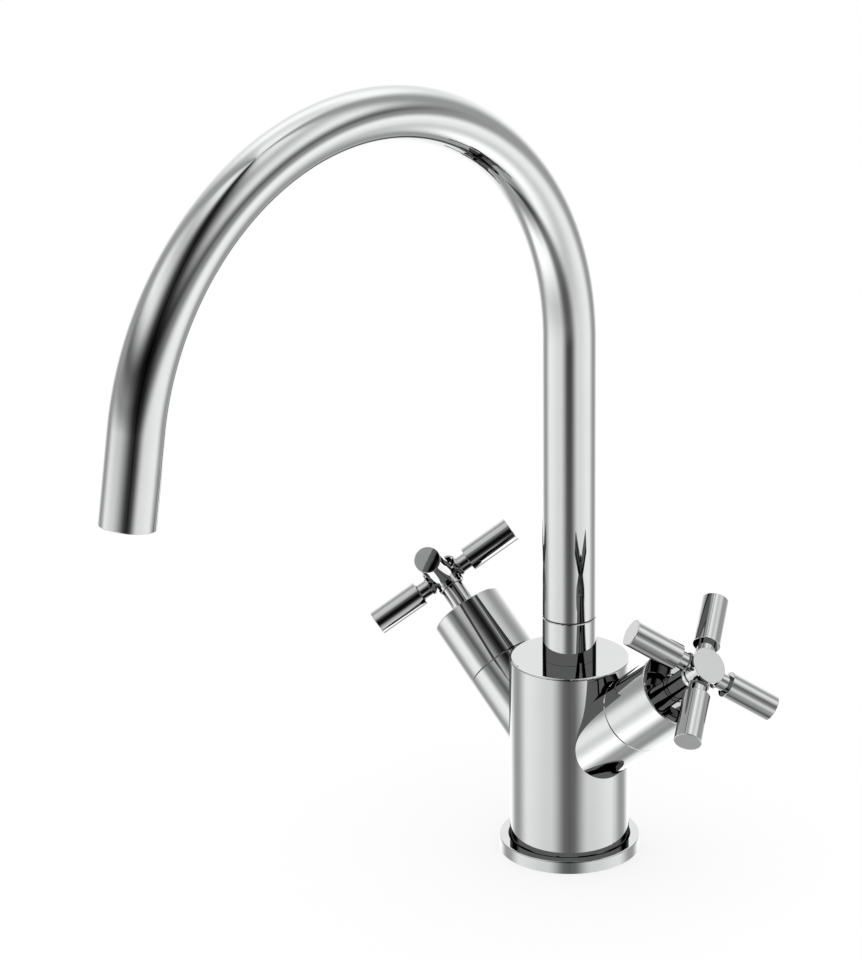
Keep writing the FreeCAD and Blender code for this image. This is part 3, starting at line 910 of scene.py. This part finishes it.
@dataclass
class CrossHandle:
    """One cross handle: hub, four turned spokes, cap, and the spindle that it drives.

    Attributes:
        valve: The valve that it turns.
        spoke_count: How many spokes it has.
        boss_reach: Where a spoke leaves the hub, from the valve's axis.
        neck_radius: Radius of a spoke's narrow neck.
        neck_length: Length of that neck.
        spigot_radius: Radius of the spoke inside the hub.
        spoke_edge: Rounding of the grip's ends.
        cap_thickness: Thickness of the cap's head.
        cap_plug_radius: Radius of the plug under the head.
        cap_edge: Rounding of the head's edge.
        sides: Sides of a full turn.
    """

    valve: Valve
    spoke_count: int = 4
    boss_reach: float = 7.85 * MM
    neck_radius: float = 3.6 * MM
    neck_length: float = 4.35 * MM
    spigot_radius: float = 2.0 * MM
    spoke_edge: float = 0.3 * MM
    cap_thickness: float = 0.9 * MM
    cap_plug_radius: float = 3.18 * MM
    cap_edge: float = 0.2 * MM
    sides: int = 128

    def build(self, shop: Workshop) -> None:
        """Turns the spokes and the cap, and dresses the hub and what turns inside the valve.

        Args:
            shop: The frame and the finishes.
        """
        for name in ("handle_hub", "handle_screw", "spindle", "moving_disc", "spindle_o_ring",
                     "spindle_circlip"):
            shop.dress(self.valve.node(name))
        axis = shop.axis(self.valve.joint)
        for number in range(1, self.spoke_count + 1):
            self.turn_spoke(shop, axis, self.valve.node(f"handle_spoke_{number}"))
        self.turn_cap(shop, axis)

    def turn_spoke(self, shop: Workshop, axis: StraightSpine, name: str) -> None:
        """One spoke: spigot, narrow neck and a plain round grip with eased ends.

        Args:
            shop: The frame and the finishes.
            axis: The valve's axis.
            name: Name of the spoke's node.
        """
        vertices = shop.nodes[name].data.vertices
        middle = sum((vertex.co for vertex in vertices), Vector()) / len(vertices)
        foot = axis.foot(middle)
        spine = StraightSpine(foot, (middle - foot).normalized())
        spoke = spine.measure(shop.nodes[name])
        grip = self.boss_reach + self.neck_length
        corners = (
            Corner(0.0, spoke.low), Corner(self.spigot_radius, spoke.low),
            Corner(self.spigot_radius, self.boss_reach), Corner(self.neck_radius, self.boss_reach),
            Corner(self.neck_radius, grip), Corner(spoke.outer, grip, self.spoke_edge),
            Corner(spoke.outer, spoke.high, self.spoke_edge), Corner(0.0, spoke.high),
        )
        shop.turn(name, self.valve.handle, spine, corners, self.sides)

    def turn_cap(self, shop: Workshop, axis: StraightSpine) -> None:
        """The plain cap that closes the hub over its screw.

        Args:
            shop: The frame and the finishes.
            axis: The valve's axis.
        """
        name = self.valve.node("hub_cap")
        cap = axis.measure(shop.nodes[name])
        seat = cap.high - self.cap_thickness
        corners = (
            Corner(0.0, cap.low), Corner(self.cap_plug_radius, cap.low),
            Corner(self.cap_plug_radius, seat), Corner(cap.outer, seat),
            Corner(cap.outer, cap.high, self.cap_edge), Corner(0.0, cap.high),
        )
        shop.turn(name, self.valve.handle, axis, corners, self.sides)


@dataclass
class Studio:
    """White studio: camera, floor, soft lamp, and the pale cards that the chrome mirrors.

    Turns of the cards are measured from the camera's side, so 0 faces the camera and 180 lies
    behind the tap. Rises are measured from the level, so -90 is straight down. Both are in degrees.

    Attributes:
        HALF_TURN: Degrees from 0 to behind the tap, and from straight down to straight up.
        FIRST_DEPTH: A first mirror image has a glossy depth under this.
        SECOND_DEPTH: A second mirror image, of chrome in chrome, has one under this.
        image_size: Width and height of the picture in pixels.
        bearing: Turn of the camera about the upright axis.
        pitch: How far the camera looks down.
        eye: Where the camera stands.
        focal_pixels: Focal length in pixels of the picture.
        middle_pixel: Column of the picture that the camera faces.
        sensor: Size of the camera's sensor in millimetres.
        farthest: How far the camera sees.
        floor_half: Half the width of the floor.
        floor_drop: Gap between the floor and the tap.
        floor_glow: Share of plain white in what the camera sees of the floor.
        lamp_size: Width of the lamp.
        lamp_power: Its power in watts.
        lamp_place: Where it hangs.
        lamp_aim: Where it points.
        low_front: Levels of the cards by turn, near the ground.
        high_front: Levels of the cards by turn, higher up.
        side_rows: Levels by rise in front and at the sides.
        back_rows: Levels by rise behind the tap.
        upper_rise: Where the low cards give way to the high ones.
        foot_rise: Where the lift at the ground fades out.
        foot_lift: How much paler the front is at the ground.
        leaving_turn: Where the side rows fade into the corners.
        behind_turn: Where the corners give way to the back rows.
        corner_grey: Level of the corners.
        second_image: Level of a second mirror image in front and at the sides.
        second_turn: Where that level fades out.
        second_back: Level of a second mirror image behind the tap.
        second_back_turn: Where that level fades in.
    """

    HALF_TURN = 180.0
    FIRST_DEPTH = 1.5
    SECOND_DEPTH = 2.5

    image_size: tuple[int, int] = (862, 960)
    bearing: float = math.radians(44.223)
    pitch: float = math.radians(20.214)
    eye: Triple = (1.09566, -1.12577, 0.73975)
    focal_pixels: float = 4154.1
    middle_pixel: float = 569.4
    sensor: float = 36.0
    farthest: float = 100.0
    floor_half: float = 4.0
    floor_drop: float = 0.2 * MM
    floor_glow: float = 0.7
    lamp_size: float = 1.6
    lamp_power: float = 3.0
    lamp_place: Triple = (0.3, -0.5, 2.0)
    lamp_aim: Triple = (0.0, 0.0, 0.15)
    low_front: Stops = ((0, 0.05), (6, 0.08), (38, 0.9), (88, 1.1))
    high_front: Stops = ((0, 0.01), (8, 0.04), (60, 0.97), (88, 1.05))
    side_rows: Stops = (
        (-90, 0.38), (-77, 0.28), (-55, 1.0), (-33, 0.56), (-11, 0.86), (4, 0.27), (14, 0.13),
        (35, 0.83), (57, 0.54), (76, 0.84), (90, 0.5),
    )
    back_rows: Stops = (
        (-80, 0.3), (-60, 0.9), (-45, 1.05), (-5, 1.05), (22, 0.82), (43, 1.05), (62, 0.76),
        (79, 0.93), (90, 0.75),
    )
    upper_rise: tuple[float, float] = (-17.0, -3.0)
    foot_rise: tuple[float, float] = (-26.0, -16.0)
    foot_lift: float = 0.12
    leaving_turn: tuple[float, float] = (88.0, 117.0)
    behind_turn: tuple[float, float] = (124.0, 156.0)
    corner_grey: float = 0.33
    second_image: float = 0.11
    second_turn: tuple[float, float] = (110.0, 127.0)
    second_back: float = 0.06
    second_back_turn: tuple[float, float] = (138.0, 162.0)

    def build(self) -> None:
        """Sets up the view, the camera, the world, the floor and the lamp."""
        bpy.context.scene.view_settings.view_transform = "Standard"
        self.place_camera()
        self.paint_world()
        self.lay_floor()
        self.hang_lamp()

    def place_camera(self) -> None:
        """The camera at the photograph's place, with the shift that its framing has."""
        width, height = self.image_size
        data = bpy.data.cameras.new("camera")
        data.sensor_width = self.sensor
        data.lens = self.focal_pixels / height * self.sensor
        data.shift_x = (width / 2 - self.middle_pixel) / height
        data.clip_end = self.farthest
        camera = bpy.data.objects.new("camera", data)
        camera.location = self.eye
        camera.rotation_euler = (math.pi / 2 - self.pitch, 0.0, self.bearing)
        bpy.context.scene.collection.objects.link(camera)
        bpy.context.scene.camera = camera

    def paint_world(self) -> None:
        """White all round for the camera and for plain light, with the studio's cards in mirrors.

        A mirror image inside a mirror image shows a dim grey, and a third one shows black.
        """
        world = bpy.data.worlds.new("studio")
        world.use_nodes = True
        bpy.context.scene.world = world
        graph = Graph(world.node_tree)
        towards = graph.node("ShaderNodeTexCoord", output="Generated")
        split = graph.node("ShaderNodeSeparateXYZ", sockets={"Vector": towards})
        x, y, z = split.output("X"), split.output("Y"), split.output("Z")
        ahead = x * math.sin(self.bearing) - y * math.cos(self.bearing)
        aside = x * math.cos(self.bearing) + y * math.sin(self.bearing)
        bearing = aside.math("ABSOLUTE").math("ARCTAN2", ahead) * math.degrees(1.0)
        rise = z.math("ARCSINE") * math.degrees(1.0)
        turn = bearing * (1.0 / self.HALF_TURN)
        height = rise * (1.0 / self.HALF_TURN) + 0.5
        upper = graph.span(rise, *self.upper_rise, 0.0, 1.0)
        front = self.ramp(graph, turn, self.low_front) * (1.0 - upper)
        front = front + self.ramp(graph, turn, self.high_front) * upper
        front = front + graph.span(rise, *self.foot_rise, self.foot_lift, 0.0)
        sides = self.ramp(graph, height, self.side_rows) * front
        back = self.ramp(graph, height, self.back_rows)
        leaving = graph.span(bearing, *self.leaving_turn, 0.0, 1.0)
        behind = graph.span(bearing, *self.behind_turn, 0.0, 1.0)
        corner = leaving * self.corner_grey
        cards = (sides * (1.0 - leaving) + corner) * (1.0 - behind) + back * behind
        path = graph.node("ShaderNodeLightPath")
        mirrored = path.output("Is Glossy Ray").math("MAXIMUM", path.output("Is Transmission Ray"))
        depth = path.output("Glossy Depth")
        first = depth.math("LESS_THAN", self.FIRST_DEPTH)
        second = depth.math("LESS_THAN", self.SECOND_DEPTH) - first
        dim = graph.span(bearing, *self.second_turn, self.second_image, 0.0)
        dim = dim + graph.span(bearing, *self.second_back_turn, 0.0, self.second_back)
        shade = (cards * first + dim * second) * mirrored + (1.0 - mirrored)
        background = graph.node("ShaderNodeBackground", sockets={"Color": shade, "Strength": 1.0})
        graph.node("ShaderNodeOutputWorld", sockets={"Surface": background})

    def ramp(self, graph: Graph, place: Signal, stops: Stops) -> Signal:
        """Brightness of the cards along one direction, from stops of degrees and levels.

        Args:
            graph: The world's nodes.
            place: Where along the ramp, from 0 to 1.
            stops: Degrees and levels. Rows that start below 0 are counted from straight down.

        Returns:
            The level.
        """
        start = -self.HALF_TURN / 2.0 if stops[0][0] < 0 else 0.0
        places = tuple(((degrees - start) / self.HALF_TURN, level) for degrees, level in stops)
        return graph.node("ShaderNodeValToRGB", {"stops": places}, {"Fac": place})

    def lay_floor(self) -> None:
        """A white floor that keeps a soft shadow. Mirrors show the studio's cards instead."""
        far, near = self.floor_half, -self.floor_half
        mesh = bpy.data.meshes.new("floor")
        corners = [(near, near, 0.0), (far, near, 0.0), (far, far, 0.0), (near, far, 0.0)]
        mesh.from_pydata(corners, [], [(0, 1, 2, 3)])
        floor = bpy.data.objects.new("floor", mesh)
        floor.location.z = -self.floor_drop
        floor.visible_glossy = False
        material = bpy.data.materials.new("white_floor")
        material.use_nodes = True
        graph = Graph(material.node_tree)
        paper = graph.node("ShaderNodeBsdfDiffuse", sockets={"Color": WHITE})
        glow = graph.node("ShaderNodeEmission", sockets={"Color": WHITE, "Strength": 1.0})
        seen = graph.node("ShaderNodeLightPath", output="Is Camera Ray")
        layers = {0: seen * self.floor_glow, 1: paper, 2: glow}
        mixed = graph.node("ShaderNodeMixShader", sockets=layers)
        graph.node("ShaderNodeOutputMaterial", sockets={"Surface": mixed})
        mesh.materials.append(material)
        bpy.context.scene.collection.objects.link(floor)

    def hang_lamp(self) -> None:
        """One large soft lamp above, which the chrome doesn't mirror."""
        data = bpy.data.lights.new("soft_box", "AREA")
        data.size = self.lamp_size
        data.energy = self.lamp_power
        lamp = bpy.data.objects.new("soft_box", data)
        lamp.location = self.lamp_place
        beam = Vector(self.lamp_aim) - lamp.location
        lamp.rotation_euler = beam.to_track_quat("-Z", "Y").to_euler()
        lamp.visible_glossy = False
        bpy.context.scene.collection.objects.link(lamp)


def main() -> None:
    """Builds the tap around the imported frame."""
    logging.basicConfig(level=logging.INFO, format="%(name)s: %(message)s")
    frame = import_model()
    shop = Workshop(frame)
    BodyColumn().build(shop)
    SwanNeck().build(shop)
    for valve in Valve:
        ValveArm(valve).build(shop)
        CrossHandle(valve).build(shop)
    Studio().build()


if __name__ == "__main__":
    main()
